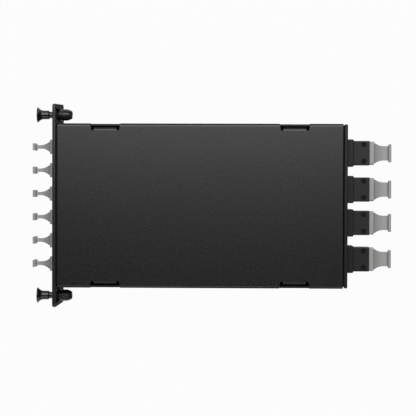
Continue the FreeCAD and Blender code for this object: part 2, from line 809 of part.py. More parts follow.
def bundle_ends(route):
    """The y of a bundle at its front boot and at its rear boot."""
    front, rear, first, last = route
    front_y = bundle_y(front_port_ys[front], front, fibres_per_front_port, first, last)
    rear_y = bundle_y(rear_port_ys[rear], rear, fibres_per_rear_port, first, last)
    return front_y, rear_y


def bundle_path(front_y, rear_y):
    """A straight lead through the holder, two arcs as large as fit, and a straight lead."""
    bend_x = holder_x + holder_foot_length / 2
    end_x = rear_boot_end_x - bundle_lead
    run = end_x - bend_x
    shift = rear_y - front_y
    half_turn = math.atan2(abs(shift), run)
    radius = run / 2 / math.sin(2 * half_turn)
    side = math.copysign(1, shift)
    step = Vector(radius * math.sin(half_turn), side * radius * (1 - math.cos(half_turn)), 0)
    start = Vector(bend_x, front_y, axis_z)
    middle = Vector(bend_x + run / 2, (front_y + rear_y) / 2, axis_z)
    end = Vector(end_x, rear_y, axis_z)
    edges = [
        Part.LineSegment(Vector(front_boot_end_x, front_y, axis_z), start).toShape(),
        Part.Arc(start, start + step, middle).toShape(),
        Part.Arc(middle, end - step, end).toShape(),
        Part.LineSegment(end, Vector(rear_boot_end_x, rear_y, axis_z)).toShape(),
    ]
    return Part.Wire(edges)


def fibre_bundle(route):
    """One bundle of fibres, from a front boot's end to a rear boot's end."""
    front_y, rear_y = bundle_ends(route)
    circle = Part.makeCircle(
        bundle_radius(route[2], route[3]), Vector(front_boot_end_x, front_y, axis_z), Vector(1, 0, 0)
    )
    return bundle_path(front_y, rear_y).makePipeShell([Part.Wire([circle])], True, True)


def fibre_holder():
    """The comb on the tray's floor: a foot, a wall with open slots, and gussets."""
    wall_top = axis_z + holder_rise
    x_front = holder_x - holder_thickness / 2
    x_back = holder_x + holder_thickness / 2
    foot = block(
        holder_x - holder_foot_length / 2, holder_x + holder_foot_length / 2, -holder_half, holder_half,
        floor_z, floor_z + holder_foot_height,
    )
    wall = block(x_front, x_back, -holder_half, holder_half, floor_z, wall_top)
    shapes = [foot, wall]
    gusset_reach = (holder_foot_length - holder_thickness) / 2
    for i in range(holder_gusset_count):
        y = holder_half * ((2 * i + 1) / holder_gusset_count - 1)
        outline = [
            Vector(x_back - seat, y, floor_z),
            Vector(x_back + gusset_reach, y, floor_z),
            Vector(x_back + gusset_reach, y, floor_z + holder_foot_height),
            Vector(x_back - seat, y, floor_z + 2 * gusset_reach),
        ]
        face = Part.Face(Part.makePolygon(outline + outline[:1]))
        shapes.append(face.extrude(Vector(0, holder_foot_height, 0)))
    holes = []
    for route in fibre_routes():
        y = bundle_ends(route)[0]
        radius = bundle_radius(route[2], route[3]) + seat
        holes.append(rod_x(x_front - beyond, x_back + beyond, radius, y, axis_z))
        holes.append(block(x_front - beyond, x_back + beyond, y - radius, y + radius, axis_z, wall_top + beyond))
    for y in holder_screw_ys:
        holes.append(rod_z(base_z, floor_z + screw_reach + slip, screw_shank_radius + seat, holder_x, y))
    return joined(shapes).cut(holes)


# Retainer, clips and screws --------------------------------------------------------------------------

def front_retainer():
    """The plate behind the front adapters' collars."""
    half = front_port_ys[0] + collar_narrow / 2 + panel_rib_thickness
    back_x = retainer_front_x + retainer_thickness
    plate = block(
        retainer_front_x + seat, back_x, -half, half, lug_top_z + slip, retainer_top_z
    )
    holes = [
        bar(retainer_front_x - beyond, back_x + beyond, adapter_narrow + 2 * adapter_cutout_clearance,
            adapter_wide + 2 * adapter_cutout_clearance, adapter_corner_radius, y, axis_z)
        for y in front_port_ys
    ]
    holes += [
        rod_x(retainer_front_x - beyond, back_x + beyond, screw_shank_radius + seat, y, boss_z)
        for y in screw_row_ys
    ]
    return plate.cut(holes)


def adapter_clip(y):
    """The spring clip round a rear adapter: a band with two tabs that press on the rear panel."""
    end_x = rear_inner_x - seat
    start_x = end_x - clip_length
    inner_wide = adapter_wide + 2 * seat
    inner_narrow = adapter_narrow + 2 * seat
    band = bar(start_x, end_x, inner_wide + 2 * clip_thickness, inner_narrow + 2 * clip_thickness,
               adapter_corner_radius + clip_thickness)
    band = band.cut(bar(start_x - beyond, end_x + beyond, inner_wide, inner_narrow, adapter_corner_radius))
    tab_x = end_x - clip_tab_length
    windows = [
        block(tab_x, end_x + beyond, -adapter_wide, adapter_wide, -clip_tab_width / 2 - slip, clip_tab_width / 2 + slip)
    ]
    band = band.cut(windows)
    tabs = []
    for side in (-1, 1):
        ys = sorted([0, side * clip_thickness])
        tab = block(
            -clip_thickness, clip_tab_length / math.cos(math.radians(clip_tab_angle)) - clip_thickness,
            ys[0], ys[1], -clip_tab_width / 2, clip_tab_width / 2,
        )
        tab.rotate(Vector(0, 0, 0), Vector(0, 0, 1), side * clip_tab_angle)
        lift = clip_thickness * math.sin(math.radians(clip_tab_angle))
        tab.translate(Vector(tab_x, side * (inner_wide / 2 + lift), 0))
        tabs.append(tab)
    clip = joined([band] + tabs)
    clip.translate(Vector(0, y, axis_z))
    return clip


def cross_recess(bottom_z):
    """The cross that a driver turns, cut upwards into a head from bottom_z."""
    arm = screw_head_radius * 0.6
    half = screw_recess_width / 2
    return joined([
        block(-arm, arm, -half, half, bottom_z - beyond, bottom_z + screw_recess_depth),
        block(-half, half, -arm, arm, bottom_z - beyond, bottom_z + screw_recess_depth),
    ])


def base_screw():
    """A countersunk screw that stands on its head's face, at z = 0, and points up."""
    head = Part.makeCone(screw_head_radius, screw_shank_radius, sheet_thickness)
    shank = rod_z(sheet_thickness - seat, sheet_thickness + screw_reach - 2 * slip, screw_shank_radius, 0, 0)
    return joined([head, shank]).cut(cross_recess(0))


def retainer_screw():
    """A pan-head screw that stands on its head's face, at z = 0, and points up."""
    head_height = screw_head_radius * 0.65
    head = rod_z(0, head_height, screw_head_radius, 0, 0)
    head = head.makeFillet(head_height / 2, edges_where(head, lambda point: abs(point.z)))
    shank = rod_z(
        head_height - seat, head_height + retainer_thickness + screw_reach - slip, screw_shank_radius, 0, 0
    )
    return joined([head, shank]).cut(cross_recess(0))


def base_screws():
    """All the screws that go up through the tray's floor."""
    screws = []
    for x, y in base_screw_places():
        screw = base_screw()
        screw.translate(Vector(x, y, base_z + seat / 2))
        screws.append(screw)
    return Part.makeCompound(screws)


def retainer_screws():
    """The screws that hold the retainer to the panel's bosses."""
    screws = []
    back_x = retainer_front_x + retainer_thickness
    for y in screw_row_ys:
        screw = retainer_screw()
        screw.rotate(Vector(0, 0, 0), Vector(0, 1, 0), -90)
        screw.translate(Vector(back_x + seat + screw_head_radius * 0.65, y, boss_z))
        screws.append(screw)
    return Part.makeCompound(screws)


# The whole cassette ---------------------------------------------------------------------------------

def cassette():
    """Every piece of the cassette by name, in the working frame."""
    parts = {
        "base_tray": base_tray(),
        "cover": cover(),
        "front_panel": front_panel(),
        "rear_panel": rear_panel(),
        "latch_grommet_left": latch_grommet(1),
        "latch_grommet_right": latch_grommet(-1),
        "latch_plunger_left": latch_plunger(1),
        "latch_plunger_right": latch_plunger(-1),
        "front_retainer": front_retainer(),
        "fibre_holder": fibre_holder(),
        "adapter_clips": Part.makeCompound([adapter_clip(y) for y in rear_port_ys]),
        "base_screws": base_screws(),
        "retainer_screws": retainer_screws(),
    }
    front_adapter = array_adapter(front_adapter_proud + panel_thickness)
    rear_adapter = array_adapter(rear_nose_length)
    plug = array_plug()
    cap = turned_round(dust_cap())
    for number, y in enumerate(front_port_ys, 1):
        parts[f"front_adapter_{number}"] = at_front(front_adapter, y)
        parts[f"front_plug_{number}"] = at_front(plug, y)
        parts[f"front_dust_cap_{number}"] = at_front(cap, y)
    for number, y in enumerate(rear_port_ys, 1):
        parts[f"rear_adapter_{number}"] = at_rear(rear_adapter, y)
        parts[f"rear_plug_{number}"] = at_rear(plug, y)
        parts[f"rear_dust_cap_{number}"] = at_rear(cap, y)
    for number, route in enumerate(fibre_routes(), 1):
        parts[f"fibre_bundle_{number}"] = fibre_bundle(route)
    return parts


def origin_shift():
    """The move that puts the origin under the middle of the whole cassette, at its lowest level."""
    front_x = front_mouth_x - cap_grip_length
    rear_x = rear_mouth_x + cap_grip_length
    return Vector(-(front_x + rear_x) / 2, -key_rib_height / 2, 0)


os.makedirs("parts", exist_ok=True)
for name, shape in cassette().items():
    shape.translate(origin_shift())
    shape.exportStep(f"parts/{name}.step")
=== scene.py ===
"""Looks of a fibre cassette: finishes, softened mouldings and a plain studio round its CAD frame."""

import json
import logging
import math
from collections.abc import Callable
from dataclasses import dataclass, field
from enum import Enum

import bpy
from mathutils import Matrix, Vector

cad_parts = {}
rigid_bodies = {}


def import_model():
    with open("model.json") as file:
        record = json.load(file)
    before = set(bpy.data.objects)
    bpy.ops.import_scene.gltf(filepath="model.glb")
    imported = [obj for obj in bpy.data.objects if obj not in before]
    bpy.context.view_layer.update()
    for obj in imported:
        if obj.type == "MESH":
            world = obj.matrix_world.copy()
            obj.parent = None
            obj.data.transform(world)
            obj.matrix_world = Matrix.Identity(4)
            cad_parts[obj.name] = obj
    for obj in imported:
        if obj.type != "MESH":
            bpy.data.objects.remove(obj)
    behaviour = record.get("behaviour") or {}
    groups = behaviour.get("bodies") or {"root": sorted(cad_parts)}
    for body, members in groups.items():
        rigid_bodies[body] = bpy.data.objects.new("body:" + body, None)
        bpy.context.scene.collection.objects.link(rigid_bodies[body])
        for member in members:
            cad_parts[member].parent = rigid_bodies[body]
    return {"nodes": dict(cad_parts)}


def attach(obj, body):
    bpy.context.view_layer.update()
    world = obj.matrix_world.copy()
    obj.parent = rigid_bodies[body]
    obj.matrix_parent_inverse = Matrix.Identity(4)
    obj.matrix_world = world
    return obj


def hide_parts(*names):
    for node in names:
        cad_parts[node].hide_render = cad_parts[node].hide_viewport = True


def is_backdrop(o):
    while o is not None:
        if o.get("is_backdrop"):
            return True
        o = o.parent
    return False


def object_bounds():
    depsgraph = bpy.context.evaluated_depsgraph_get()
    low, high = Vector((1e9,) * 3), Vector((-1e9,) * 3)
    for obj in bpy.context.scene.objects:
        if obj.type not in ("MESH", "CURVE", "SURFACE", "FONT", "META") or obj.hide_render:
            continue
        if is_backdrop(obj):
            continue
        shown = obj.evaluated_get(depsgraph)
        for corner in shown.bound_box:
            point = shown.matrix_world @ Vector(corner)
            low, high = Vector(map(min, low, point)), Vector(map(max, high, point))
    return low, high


LOG = logging.getLogger("fibre_cassette")
BACKWARD = 0.9  # the least x of the normal of a face that looks to the rear
UPRIGHT = 0.87  # the most z of the normal of a face that counts as a wall
SAME_LEVEL = 0.0001  # the most difference in z between faces of one level
ALONG = 0.5  # the most share of a face's normal across the line that the face runs along
NOISE_LOW = 0.3  # where the useful middle of a noise starts
NOISE_HIGH = 0.7  # where it ends
SAME_POINT = 1e-6  # the most distance between vertices that are merged, in metres
FLAT_ANGLE = math.radians(0.5)  # the most angle between faces that are merged
ROUNDED_ANGLE = math.radians(32.0)  # the least angle of an edge that is rounded
SMOOTH_ANGLE = math.radians(34.0)  # the most angle of an edge that is shaded smooth

Colour = tuple[float, float, float]
Point = tuple[float, float, float]
Range = tuple[float, float]
Nodes = dict[str, bpy.types.Object]


class Side(Enum):
    """The two ears of the front panel, as the names of the latches' nodes say them."""

    LEFT = "left"
    RIGHT = "right"


class PortRow(Enum):
    """The two rows of ports, with the number of ports in each."""

    FRONT = 6
    REAR = 4

    def outward(self) -> float:
        """Returns the sign of X on the row's side of the cassette."""
        return -1.0 if self is PortRow.FRONT else 1.0


# Finishes


class Shading:
    """A material with one Principled shader, and small steps that add nodes to it."""

    def __init__(self, name: str) -> None:
        """Starts a material.

        Args:
            name: The material's name.
        """
        self.material = bpy.data.materials.new(name)
        self.material.use_nodes = True
        self.tree = self.material.node_tree
        self.surface = self.tree.nodes["Principled BSDF"]
        self.place = self.tree.nodes.new("ShaderNodeTexCoord").outputs["Object"]

    def set(self, **values: float) -> None:
        """Sets constant values on the shader's own sockets, with _ for a space in a name."""
        for name, value in values.items():
            self.surface.inputs[name.replace("_", " ")].default_value = value

    def stretched(self, scale: Point, turn: Point = (0.0, 0.0, 0.0)) -> bpy.types.NodeSocket:
        """Stretches and turns the object's coordinates.

        Args:
            scale: The factor along each axis.
            turn: The angle about each axis, in radians.

        Returns:
            The changed coordinates.
        """
        mapping = self.tree.nodes.new("ShaderNodeMapping")
        mapping.inputs["Scale"].default_value = scale
        mapping.inputs["Rotation"].default_value = turn
        self.tree.links.new(self.place, mapping.inputs["Vector"])
        return mapping.outputs["Vector"]

    def noise(
        self, size: float, detail: float = 2.0, place: bpy.types.NodeSocket | None = None
    ) -> bpy.types.NodeSocket:
        """Adds noise whose spots are about the given size.

        Args:
            size: The size of a spot in metres.
            detail: How many finer layers the noise has.
            place: Coordinates to read, or None for the object's own.

        Returns:
            The noise, from 0 to 1.
        """
        node = self.tree.nodes.new("ShaderNodeTexNoise")
        node.inputs["Scale"].default_value = 1.0 / size
        node.inputs["Detail"].default_value = detail
        self.tree.links.new(place or self.place, node.inputs["Vector"])
        return node.outputs["Fac"]

    def spread(self, source: bpy.types.NodeSocket, low: float, high: float) -> bpy.types.NodeSocket:
        """Spreads the middle of a noise over a range.

        Args:
            source: The noise.
            low: The value at the noise's low end.
            high: The value at its high end.

        Returns:
            The value in the new range.
        """
        node = self.tree.nodes.new("ShaderNodeMapRange")
        node.inputs["From Min"].default_value = NOISE_LOW
        node.inputs["From Max"].default_value = NOISE_HIGH
        node.inputs["To Min"].default_value = low
        node.inputs["To Max"].default_value = high
        self.tree.links.new(source, node.inputs["Value"])
        return node.outputs["Result"]

    def tint(self, source: bpy.types.NodeSocket, dark: Colour, pale: Colour) -> None:
        """Runs the base colour between two colours.

        Args:
            source: The noise that chooses, from 0 to 1.
            dark: The colour at its low end.
            pale: The colour at its high end.
        """
        ramp = self.tree.nodes.new("ShaderNodeValToRGB")
        ramp.color_ramp.elements[0].position = NOISE_LOW
        ramp.color_ramp.elements[0].color = (*dark, 1.0)
        ramp.color_ramp.elements[1].position = NOISE_HIGH
        ramp.color_ramp.elements[1].color = (*pale, 1.0)
        self.tree.links.new(source, ramp.inputs["Fac"])
        self.tree.links.new(ramp.outputs["Color"], self.surface.inputs["Base Color"])

    def rough(self, source: bpy.types.NodeSocket, low: float, high: float) -> None:
        """Runs the roughness between two values with a noise."""
        self.tree.links.new(self.spread(source, low, high), self.surface.inputs["Roughness"])

    def bump(
        self, source: bpy.types.NodeSocket, height: float, under: bpy.types.NodeSocket | None = None
    ) -> bpy.types.NodeSocket:
        """Raises the surface by a noise.

        Args:
            source: The noise.
            height: The height of its peaks in metres.
            under: A bump that this one lies on, or None.

        Returns:
            The changed normal, which the shader now uses.
        """
        node = self.tree.nodes.new("ShaderNodeBump")
        node.inputs["Strength"].default_value = 1.0
        node.inputs["Distance"].default_value = height
        self.tree.links.new(source, node.inputs["Height"])
        if under is not None:
            self.tree.links.new(under, node.inputs["Normal"])
        self.tree.links.new(node.outputs["Normal"], self.surface.inputs["Normal"])
        return node.outputs["Normal"]


def scaled(colour: Colour, factor: float) -> Colour:
    """Returns a colour made paler or darker by a factor."""
    return (colour[0] * factor, colour[1] * factor, colour[2] * factor)


@dataclass(frozen=True)
class PowderCoat:
    """Powder coat on folded sheet: pinhead grain over a faint orange peel."""

    name: str = "powder_coat"
    roughness: float = 0.3
    colour: Colour = (0.006, 0.006, 0.0062)
    grain: float = 0.0011
    grain_height: float = 0.0000005
    peel: float = 0.0035
    peel_height: float = 0.0000015
    fleck: float = 0.9
    gloss: float = 0.36
    roughness_spread: float = 0.008

    def material(self) -> bpy.types.Material:
        """Makes the material."""
        shading = Shading(self.name)
        grain = shading.noise(self.grain, 3.0)
        peel = shading.noise(self.peel, 1.0)
        shading.tint(grain, scaled(self.colour, 1.0 - self.fleck), scaled(self.colour, 1.0 + self.fleck))
        shading.rough(peel, self.roughness - self.roughness_spread, self.roughness + self.roughness_spread)
        under = shading.bump(peel, self.peel_height)
        shading.bump(grain, self.grain_height, under)
        shading.set(Specular_IOR_Level=self.gloss)
        return shading.material


@dataclass(frozen=True)
class MouldedPlastic:
    """Moulded plastic with the fine eroded grain of its tool and a little flow mottling."""

    name: str
    colour: Colour
    roughness: float = 0.45
    grain: float = 0.0004
    grain_height: float = 0.000012
    mottling: float = 0.08
    gloss: float = 0.36
    flow: float = 0.009
    flow_stretch: Point = (1.0, 1.6, 1.0)
    roughness_spread: float = 0.05

    def material(self) -> bpy.types.Material:
        """Makes the material."""
        shading = Shading(self.name)
        flow = shading.noise(self.flow, 2.0, shading.stretched(self.flow_stretch))
        grain = shading.noise(self.grain, 2.0)
        shading.tint(flow, scaled(self.colour, 1.0 - self.mottling), scaled(self.colour, 1.0 + self.mottling))
        shading.rough(grain, self.roughness - self.roughness_spread, self.roughness + self.roughness_spread)
        shading.bump(grain, self.grain_height)
        shading.set(Specular_IOR_Level=self.gloss)
        return shading.material


@dataclass(frozen=True)
class PolishedPlastic:
    """Polished black moulding, with only the faintest waves and wear in its gloss."""

    name: str = "polished_plastic"
    colour: Colour = (0.006, 0.006, 0.006)
    gloss: float = 0.4
    wave: float = 0.004
    wave_height: float = 0.000004
    wear: float = 0.0012
    roughness: Range = (0.12, 0.22)
    shades: Range = (0.8, 1.3)

    def material(self) -> bpy.types.Material:
        """Makes the material."""
        shading = Shading(self.name)
        waves = shading.noise(self.wave, 1.0)
        rubbed = shading.noise(self.wear, 3.0)
        shading.tint(waves, *(scaled(self.colour, shade) for shade in self.shades))
        shading.rough(rubbed, *self.roughness)
        shading.bump(waves, self.wave_height)
        shading.set(Specular_IOR_Level=self.gloss)
        return shading.material


@dataclass(frozen=True)
class RolledSteel:
    """Rolled or turned steel: fine lines along one axis."""

    name: str
    colour: Colour
    along: Point = (1.0, 0.06, 1.0)
    roughness: float = 0.34
    line: float = 0.0003
    line_height: float = 0.000006
    shades: Range = (0.8, 1.1)
    smoother: float = 0.08
    rougher: float = 0.1

    def material(self) -> bpy.types.Material:
        """Makes the material."""
        shading = Shading(self.name)
        lines = shading.noise(self.line, 3.0, shading.stretched(self.along))
        shading.tint(lines, *(scaled(self.colour, shade) for shade in self.shades))
        shading.rough(lines, self.roughness - self.smoother, self.roughness + self.rougher)
        shading.bump(lines, self.line_height)
        shading.set(Metallic=1.0)
        return shading.material


@dataclass(frozen=True)
class FibreJacket:
    """The jackets of a bundle of fibres: thin strands side by side."""

    name: str = "fibre_jacket"
    colour: Colour = (0.02, 0.42, 0.45)
    strand: float = 0.0003
    strand_height: float = 0.00006
    strand_stretch: Point = (0.04, 1.0, 1.0)
    roughness: Range = (0.28, 0.4)
    shades: Range = (0.6, 1.15)

    def material(self) -> bpy.types.Material:
        """Makes the material."""
        shading = Shading(self.name)
        strands = shading.noise(self.strand, 1.0, shading.stretched(self.strand_stretch))
        shading.tint(strands, *(scaled(self.colour, shade) for shade in self.shades))
        shading.rough(strands, *self.roughness)
        shading.bump(strands, self.strand_height)
        return shading.material


# Steps that several pieces share


def nothing_selected() -> None:
    """Leaves edit mode and deselects every object."""
    if bpy.context.object and bpy.context.object.mode != "OBJECT":
        bpy.ops.object.mode_set(mode="OBJECT")
    bpy.ops.object.select_all(action="DESELECT")


def dress(piece: bpy.types.Object, material: bpy.types.Material) -> None:
    """Gives a piece one material all over."""
    piece.data.materials.clear()
    piece.data.materials.append(material)


def second_finish(
    piece: bpy.types.Object, material: bpy.types.Material, chosen: Callable[[bpy.types.MeshPolygon], bool]
) -> None:
    """Gives some of a piece's faces a finish of their own.

    Args:
        piece: The piece, which has its first finish already.
        material: The second finish.
        chosen: Says of a face whether it takes the second finish.
    """
    piece.data.materials.append(material)
    for face in piece.data.polygons:
        face.material_index = int(chosen(face))


@dataclass(frozen=True)
class Groove:
    """A shallow V-shaped groove round a piece, square to X. Its place is its X in metres."""

    place: float
    half_width: float = 0.0003
    depth: float = 0.0005

    def cut(self, piece: bpy.types.Object) -> None:
        """Cuts the groove.

        Args:
            piece: The piece to cut, which is active and in edit mode.
        """
        for offset in (-self.half_width, self.half_width, 0.0):
            bpy.ops.mesh.select_all(action="SELECT")
            bpy.ops.mesh.bisect(plane_co=(self.place + offset, 0.0, 0.0), plane_no=(1.0, 0.0, 0.0))
        bpy.ops.object.mode_set(mode="OBJECT")
        ring = [corner.co for corner in piece.data.vertices if corner.select]
        low = Vector(min(co[axis] for co in ring) for axis in range(3))
        high = Vector(max(co[axis] for co in ring) for axis in range(3))
        reach = (high - low) / 2.0
        bpy.ops.object.mode_set(mode="EDIT")
        narrowed = (1.0, 1.0 - self.depth / reach.y, 1.0 - self.depth / reach.z)
        bpy.ops.transform.resize(value=narrowed, center_override=(low + high) / 2.0)


def softened(
    node: bpy.types.Object, name: str, width: float, segments: int = 2, grooves: tuple[Groove, ...] = ()
) -> bpy.types.Object:
    """Copies a CAD node and rounds its sharp edges, as a mould or a tumbler does.

    Args:
        node: The CAD node.
        name: The new piece's name.
        width: The width of the rounding in metres.
        segments: How many faces each rounding has.
        grooves: The grooves that are cut into it first.

    Returns:
        The new piece, with its modifiers applied.
    """
    nothing_selected()
    mesh = node.data.copy()
    piece = bpy.data.objects.new(name, mesh)
    bpy.context.scene.collection.objects.link(piece)
    piece.select_set(True)
    bpy.context.view_layer.objects.active = piece
    bpy.ops.object.mode_set(mode="EDIT")
    bpy.ops.mesh.select_all(action="SELECT")
    bpy.ops.mesh.remove_doubles(threshold=SAME_POINT)
    bpy.ops.mesh.dissolve_limited(angle_limit=FLAT_ANGLE)
    for groove in grooves:
        groove.cut(piece)
    bpy.ops.object.mode_set(mode="OBJECT")
    rounding = piece.modifiers.new("rounding", "BEVEL")
    rounding.width = width
    rounding.segments = segments
    rounding.limit_method = "ANGLE"
    rounding.angle_limit = ROUNDED_ANGLE
    bpy.ops.object.modifier_apply(modifier=rounding.name)
    bpy.ops.object.shade_smooth_by_angle(angle=SMOOTH_ANGLE)
    flatness = piece.modifiers.new("flatness", "WEIGHTED_NORMAL")
    flatness.keep_sharp = True
    bpy.ops.object.modifier_apply(modifier=flatness.name)
    nothing_selected()
    return piece


# Sub-assemblies


@dataclass
class Enclosure:
    """The folded tray, cover and rear panel, with the screws in the tray's floor."""

    smooth_coat: PowderCoat = field(default_factory=PowderCoat)
    thin_coat: PowderCoat = field(
        default_factory=lambda: PowderCoat("thin_powder_coat", 0.4, (0.005, 0.005, 0.0052), gloss=0.24)
    )
    coarse_coat: PowderCoat = field(
        default_factory=lambda: PowderCoat(
            "coarse_powder_coat", 0.9, (0.008, 0.008, 0.0083), gloss=0.25, fleck=0.35
        )
    )
    screws: RolledSteel = field(
        default_factory=lambda: RolledSteel("blackened_screw", (0.06, 0.06, 0.062), (0.3, 0.3, 0.3))
    )

    def dress(self, nodes: Nodes) -> None:
        """Gives the folded sheet and its screws their finishes."""
        smooth, thin = self.smooth_coat.material(), self.thin_coat.material()
        coarse = self.coarse_coat.material()
        for name, coat in (("cover", smooth), ("base_tray", thin), ("rear_panel", thin)):
            dress(nodes[name], coat)
            second_finish(nodes[name], coarse, lambda face: face.normal.z < UPRIGHT)
            LOG.info("%s: %s on top, coarse on its walls", name, coat.name)
        dress(nodes["base_screws"], self.screws.material())
        LOG.info("base_screws: blackened steel")


@dataclass
class FrontPanel:
    """The moulded panel with its ears, and the retainer behind it."""

    outside: MouldedPlastic = field(
        default_factory=lambda: MouldedPlastic("panel_plastic", (0.007, 0.007, 0.0072), 0.32)
    )
    back: MouldedPlastic = field(
        default_factory=lambda: MouldedPlastic(
            "panel_back_plastic", (0.012, 0.012, 0.0124), 0.9, 0.0006, 0.00003, gloss=0.2
        )
    )
    spring: RolledSteel = field(default_factory=lambda: RolledSteel("spring_steel", (0.55, 0.55, 0.56)))

    def dress(self, nodes: Nodes) -> None:
        """Gives the panel and its retainer their finishes."""
        panel = nodes["front_panel"]
        dress(panel, self.outside.material())
        second_finish(panel, self.back.material(), lambda face: face.normal.x > BACKWARD)
        steel = self.spring.material()
        for name in ("front_retainer", "adapter_clips", "retainer_screws"):
            dress(nodes[name], steel)
        LOG.info("front_panel: satin outside, grained back; retainer and clips: steel")


@dataclass
class Latch:
    """One push-pull latch: a plunger in a split grommet."""

    side: Side
    gloss: bpy.types.Material
    satin: bpy.types.Material
    # Painted shade: near-black, rough plastic for the grommet's slots and chamber and for the plunger inside
    # it
    painted_shade: bpy.types.Material

    def dress(self, nodes: Nodes) -> None:
        """Makes the plunger polished and the grommet satin, with painted shade, near-black and rough, in the
        grommet's slots and chamber and on the plunger inside it.
        """
        hand = self.side.value
        plunger, grommet = nodes[f"latch_plunger_{hand}"], nodes[f"latch_grommet_{hand}"]
        dress(plunger, self.gloss)
        dress(grommet, self.satin)
        corners = [Vector(corner) for corner in grommet.bound_box]
        axis = sum(corners, Vector()) / len(corners)
        mouth = min(corner.x for corner in corners)

        def in_painted_shade(face: bpy.types.MeshPolygon) -> bool:
            """Says whether a face of the grommet looks along its slots or into its chamber."""
            outward = face.center - axis
            outward.x = 0.0
            return face.normal.dot(outward.normalized()) < ALONG and abs(face.normal.x) < ALONG

        # Painted shade: the grommet's slots and chamber, and the plunger where it is inside the grommet, take
        # the near-black finish
        second_finish(grommet, self.painted_shade, in_painted_shade)
        second_finish(plunger, self.painted_shade, lambda face: face.center.x > mouth)
        LOG.info("%s latch: polished plunger in a satin grommet, dull inside", hand)


@dataclass
class Ports:
    """One row of adapters with the plugs behind them and the dust caps in front."""

    row: PortRow
    adapter: bpy.types.Material
    # Painted shade: darker plastic for the floors of the dimples
    dimple_shade: bpy.types.Material
    plug: bpy.types.Material
    cap: bpy.types.Material
    dimple_floor: float = 0.0215
    dimple_x: tuple[float, float] = (0.0807, 0.0836)
    cap_rounding: float = 0.00012
    cap_grooves: tuple[float, float] = (0.088, 0.0955)
    adapter_rounding: float = 0.00022

    def build_caps(self, nodes: Nodes) -> None:
        """Rounds the edges of each dust cap, and sets its rims off with grooves."""
        row = self.row.name.lower()
        grooves = tuple(Groove(self.row.outward() * place) for place in self.cap_grooves)
        for number in range(1, self.row.value + 1):
            node = f"{row}_dust_cap_{number}"
            piece = softened(nodes[node], f"soft_{node}", self.cap_rounding, grooves=grooves)
            dress(piece, self.cap)
            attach(piece, f"{row}_cap_{number}")
            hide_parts(node)
            LOG.info("%s: rounded, %d faces", node, len(piece.data.polygons))

    def build_adapters(self, nodes: Nodes) -> None:
        """Rounds the edges of each adapter, and paints shade on the floors of its dimples, in a darker
        plastic.
        """
        row = self.row.name.lower()
        for number in range(1, self.row.value + 1):
            node = f"{row}_adapter_{number}"
            piece = softened(nodes[node], f"soft_{node}", self.adapter_rounding, 1)
            dress(piece, self.adapter)
            # Painted shade on the dimple floors, darker than the adapter
            second_finish(piece, self.dimple_shade, self.in_shaded_dimple)
            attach(piece, "cassette")
            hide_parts(node)
            LOG.info("%s: rounded, %d faces", node, len(piece.data.polygons))

    def in_shaded_dimple(self, face: bpy.types.MeshPolygon) -> bool:
        """Says whether a face of a rear adapter is the floor of one of its dimples."""
        left, right = self.dimple_x
        level = abs(face.center.z - self.dimple_floor) < SAME_LEVEL
        return level and face.normal.z > UPRIGHT and left < face.center.x < right

    def dress(self, nodes: Nodes) -> None:
        """Gives the plugs their finish."""
        row = self.row.name.lower()
        for number in range(1, self.row.value + 1):
            dress(nodes[f"{row}_plug_{number}"], self.plug)
        LOG.info("%s ports: plugs", row)


@dataclass
class FibreRun:
    """The bundles of fibres inside, and the comb that holds them."""

    jacket: FibreJacket = field(default_factory=FibreJacket)
    comb: MouldedPlastic = field(
        default_factory=lambda: MouldedPlastic("comb_plastic", (0.03, 0.03, 0.032), 0.5)
    )
    bundles: int = 8

    def dress(self, nodes: Nodes) -> None:
        """Gives the bundles and their comb their finishes."""
        jacket = self.jacket.material()
        for number in range(1, self.bundles + 1):
            dress(nodes[f"fibre_bundle_{number}"], jacket)
        dress(nodes["fibre_holder"], self.comb.material())
        LOG.info("fibre run: %d bundles and their comb", self.bundles)


@dataclass(frozen=True)
class Softbox:
    """A rectangular soft light that faces the object, in metres and watts."""

    name: str
    place: Point
    size: Range
    power: float

    def hang(self) -> None:
        """Adds the light, turned towards the object."""
        bpy.ops.object.light_add(type="AREA", location=self.place)
        light = bpy.context.object
        light.name = self.name
        light.data.shape = "RECTANGLE"
        light.data.size, light.data.size_y = self.size
        light.data.energy = self.power
        light.visible_camera = False
        x, y, z = self.place
        light.rotation_euler = (0.0, math.atan2(math.hypot(x, y), z), math.atan2(y, x))


